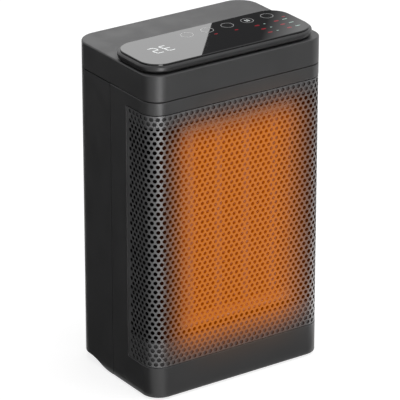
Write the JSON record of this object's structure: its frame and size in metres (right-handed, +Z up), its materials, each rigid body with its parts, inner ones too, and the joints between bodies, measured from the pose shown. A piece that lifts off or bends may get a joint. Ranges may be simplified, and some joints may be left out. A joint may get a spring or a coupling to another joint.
{
  "type": "ceramic space heater",
  "caption": "Desktop ceramic fan heater with a bent perforated front grille, glass touch pad, PTC core, fan, rocker switch and tip-over switch.",
  "frame": {"origin": "centre of the bounding box's bottom, on the surface that the feet stand on", "axes": "+Z up, -Y out of the front grille, +X towards the touch marks' end of the pad"},
  "size_m": [0.155, 0.105, 0.2654],
  "materials": {
    "casing_plastic": "fine grain",
    "pad_plastic": "satin",
    "pad_glass": "polished black",
    "grille_metal": "satin",
    "frame_plastic": "satin",
    "duct_plastic": "matt",
    "fin_metal": "rolled",
    "stone_ceramic": "fired",
    "strip_brass": "rolled",
    "core_resin": "moulded",
    "spring_steel": "bright",
    "screw_steel": "zinc plated",
    "motor_steel": "zinc plated",
    "fan_plastic": "moulded",
    "foot_rubber": "matt",
    "board_resin": "solder mask",
    "part_plastic": "moulded",
    "relay_plastic": "moulded",
    "terminal_plastic": "moulded",
    "switch_plastic": "gloss"
  },
  "bodies": {
    "housing": {"front_shell": "casing_plastic", "rear_shell": "casing_plastic", "top_cap": "casing_plastic", "grille_frame": "frame_plastic", "grille": "grille_metal", "pad_housing": "pad_plastic", "glass_panel": "pad_glass", "control_board": "board_resin", "touch_contacts": "spring_steel", "display_module": "part_plastic", "indicator_lamps": "part_plastic", "pad_screws": "screw_steel", "heater_fins": "fin_metal", "heater_tubes": "fin_metal", "ceramic_stones": "stone_ceramic", "contact_strips": "strip_brass", "core_frame_lower": "core_resin", "core_frame_upper": "core_resin", "core_side_springs": "spring_steel", "air_duct": "duct_plastic", "motor_can": "motor_steel", "motor_stator": "motor_steel", "motor_bushes": "strip_brass", "motor_bracket": "motor_steel", "bracket_screws": "screw_steel", "thermostat": "part_plastic", "thermal_fuse": "spring_steel", "base_plate": "casing_plastic", "foot_rear_left": "foot_rubber", "foot_front_left": "foot_rubber", "foot_rear_right": "foot_rubber", "foot_front_right": "foot_rubber", "base_screws": "screw_steel", "shell_screws": "screw_steel", "cap_screws": "screw_steel", "power_board": "board_resin", "board_screws": "screw_steel", "heat_relays": "relay_plastic", "line_capacitor": "part_plastic", "smoothing_capacitor": "part_plastic", "supply_transformer": "part_plastic", "heat_sink": "fin_metal", "terminal_block": "terminal_plastic", "tip_switch_body": "part_plastic", "tip_spring": "spring_steel", "rocker_body": "switch_plastic", "cord_bushing": "part_plastic"},
    "fan": {"fan_impeller": "fan_plastic", "motor_shaft": "spring_steel", "motor_rotor": "motor_steel"},
    "switch_rocker": {"rocker": "switch_plastic"},
    "floor_plunger": {"tip_plunger": "part_plastic"}
  },
  "joints": [
    {"name": "fan_spin", "type": "hinge", "parent": "housing", "child": "fan", "pos_m": [0, 0.016, 0.132], "axis": [0, 1, 0], "continuous": true},
    {"name": "rocker_tilt", "type": "hinge", "parent": "housing", "child": "switch_rocker", "pos_m": [0.03, 0.0455, 0.031], "axis": [1, 0, 0], "range_deg": [-24, 0]},
    {"name": "plunger_travel", "type": "slide", "parent": "housing", "child": "floor_plunger", "axis": [0, 0, 1], "range_m": [-0.0035, 0], "stiffness_N_per_m": 60, "springref_m": -0.008, "deforming": ["tip_spring"]}
  ]
}
